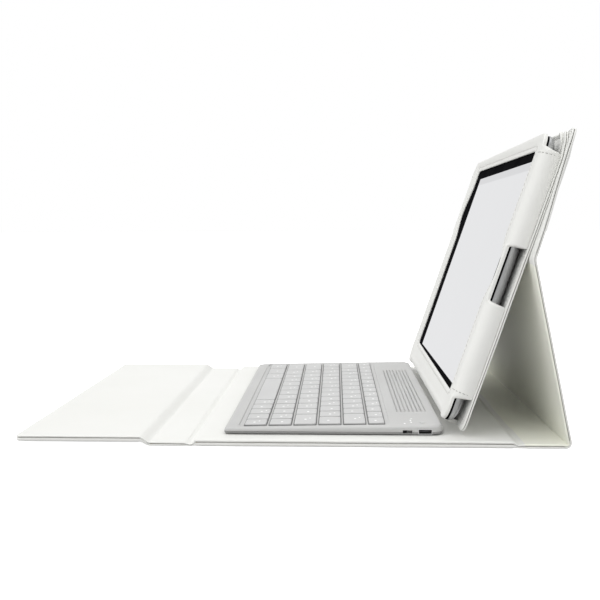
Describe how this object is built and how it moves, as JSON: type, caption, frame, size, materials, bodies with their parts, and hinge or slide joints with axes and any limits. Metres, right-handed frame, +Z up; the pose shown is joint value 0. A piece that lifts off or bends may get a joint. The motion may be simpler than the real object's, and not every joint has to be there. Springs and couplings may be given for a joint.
{
  "type": "tablet keyboard case",
  "caption": "Folding leather folio case that stands a tablet up behind a thin built-in keyboard, with a magnetic flap.",
  "frame": {"origin": "middle of the footprint, on the surface that the case stands on", "axes": "+X along the opened cover from its free flap to its stand, +Y across its width, +Z up"},
  "size_m": [0.35, 0.2676, 0.1945],
  "materials": {
    "white_leather": "smooth semi-gloss coated leather, ivory white",
    "lining": "smooth matt coated leather, ivory white",
    "board": "grey-brown pressed fibreboard",
    "grey_rubber": "satin silicone, mid light grey",
    "key_rubber": "satin silicone, light grey",
    "dark_rubber": "matt adhesive foam",
    "black_plastic": "satin moulded black",
    "circuit_board": "green solder mask",
    "clear_plastic": "milky moulded plastic",
    "cell_foil": "laminated foil pouch",
    "steel": "plain steel strip",
    "tablet_metal": "bead-blasted dark grey aluminium",
    "tablet_glass": "black glass border, polished",
    "tablet_screen": "switched-on pale grey screen"
  },
  "bodies": {
    "base": {"base_outer_leather": "white_leather", "base_lining": "lining", "base_board": "board", "front_crease": "white_leather", "rear_crease": "white_leather", "keyboard_adhesive_pad": "dark_rubber", "keyboard_bottom_case": "grey_rubber", "keyboard_deck": "grey_rubber", "keyboard_circuit_board": "circuit_board", "keyboard_dome_sheet": "clear_plastic", "keyboard_battery": "cell_foil", "charging_socket": "black_plastic", "indicator_light": "clear_plastic"},
    "front_spine": {"front_spine_outer_leather": "white_leather", "front_spine_lining": "lining", "front_spine_board": "board", "flap_crease": "white_leather"},
    "flap": {"flap_outer_leather": "white_leather", "flap_lining": "lining", "flap_board": "board", "flap_magnet_strip": "steel"},
    "rear_spine": {"rear_spine_outer_leather": "white_leather", "rear_spine_lining": "lining", "rear_spine_board": "board"},
    "stand": {"stand_foot_crease": "white_leather", "stand_outer_leather": "white_leather", "stand_lining": "lining", "stand_board": "board"},
    "holder": {"stand_top_crease": "white_leather", "holder_back_outer_leather": "white_leather", "holder_back_lining": "lining", "holder_back_board": "board", "front_frame": "white_leather", "near_gusset_lower": "white_leather", "near_gusset_upper": "white_leather", "far_gusset": "white_leather", "toe_gusset": "white_leather", "tuck_flap": "lining", "back_cover_outer_leather": "white_leather", "back_cover_lining": "lining", "back_cover_board": "board", "back_cover_steel_plate": "steel"},
    "tablet": {"tablet_housing": "tablet_metal", "tablet_glass": "tablet_glass", "tablet_display": "tablet_screen", "tablet_battery": "cell_foil"},
    "power_switch": {"power_switch": "black_plastic"},
    "connect_button": {"connect_button": "clear_plastic"},
    "arrow_keys": {"arrow_keys": "key_rubber"},
    "space_bar": {"space_bar": "key_rubber"},
    "command_keys": {"command_keys": "key_rubber"},
    "shift_row_keys": {"shift_row_keys": "key_rubber"},
    "home_row_keys": {"home_row_keys": "key_rubber"},
    "upper_row_keys": {"upper_row_keys": "key_rubber"},
    "number_row_keys": {"number_row_keys": "key_rubber"},
    "function_row_keys": {"function_row_keys": "key_rubber"}
  },
  "joints": [
    {"name": "front_spine_fold", "type": "hinge", "parent": "base", "child": "front_spine", "pos_m": [-0.06352, 0, 0.0014], "axis": [0, 1, 0], "range_deg": [0, 90]},
    {"name": "flap_fold", "type": "hinge", "parent": "front_spine", "child": "flap", "pos_m": [-0.09222, 0, 0.0029], "axis": [0, 1, 0], "range_deg": [0, 90]},
    {"name": "rear_spine_fold", "type": "hinge", "parent": "base", "child": "rear_spine", "pos_m": [0.14098, 0, 0.0014], "axis": [0, -1, 0], "range_deg": [0, 90]},
    {"name": "stand_fold", "type": "hinge", "parent": "rear_spine", "child": "stand", "pos_m": [0.17228, 0, 0.0014], "axis": [0, -1, 0], "range_deg": [-70, 0]},
    {"name": "holder_fold", "type": "hinge", "parent": "stand", "child": "holder", "pos_m": [0.14778, 0, 0.11664], "axis": [0, -1, 0], "range_deg": [0, 25]},
    {"name": "tablet_slide", "type": "slide", "parent": "holder", "child": "tablet", "axis": [-0.3223, 0, -0.9466], "range_m": [-0.19, 0]},
    {"name": "arrow_keys_press", "type": "slide", "parent": "base", "child": "arrow_keys", "axis": [0, 0, -1], "range_m": [0, 0.001], "stiffness_N_per_m": 600, "springref_m": -0.0005},
    {"name": "space_bar_press", "type": "slide", "parent": "base", "child": "space_bar", "axis": [0, 0, -1], "range_m": [0, 0.001], "stiffness_N_per_m": 600, "springref_m": -0.0005},
    {"name": "command_keys_press", "type": "slide", "parent": "base", "child": "command_keys", "axis": [0, 0, -1], "range_m": [0, 0.001], "stiffness_N_per_m": 600, "springref_m": -0.0005},
    {"name": "shift_row_keys_press", "type": "slide", "parent": "base", "child": "shift_row_keys", "axis": [0, 0, -1], "range_m": [0, 0.001], "stiffness_N_per_m": 600, "springref_m": -0.0005},
    {"name": "home_row_keys_press", "type": "slide", "parent": "base", "child": "home_row_keys", "axis": [0, 0, -1], "range_m": [0, 0.001], "stiffness_N_per_m": 600, "springref_m": -0.0005},
    {"name": "upper_row_keys_press", "type": "slide", "parent": "base", "child": "upper_row_keys", "axis": [0, 0, -1], "range_m": [0, 0.001], "stiffness_N_per_m": 600, "springref_m": -0.0005},
    {"name": "number_row_keys_press", "type": "slide", "parent": "base", "child": "number_row_keys", "axis": [0, 0, -1], "range_m": [0, 0.001], "stiffness_N_per_m": 600, "springref_m": -0.0005},
    {"name": "function_row_keys_press", "type": "slide", "parent": "base", "child": "function_row_keys", "axis": [0, 0, -1], "range_m": [0, 0.001], "stiffness_N_per_m": 600, "springref_m": -0.0005},
    {"name": "power_switch_slide", "type": "slide", "parent": "base", "child": "power_switch", "axis": [1, 0, 0], "range_m": [0, 0.0016]},
    {"name": "connect_button_press", "type": "slide", "parent": "base", "child": "connect_button", "axis": [0, 0, -1], "range_m": [0, 0.0005], "stiffness_N_per_m": 800, "springref_m": -0.0005}
  ],
  "couplings": [
    {"joint": "stand_fold", "follows": "rear_spine_fold", "ratio": -0.77778},
    {"joint": "holder_fold", "follows": "rear_spine_fold", "ratio": 0.27778}
  ]
}
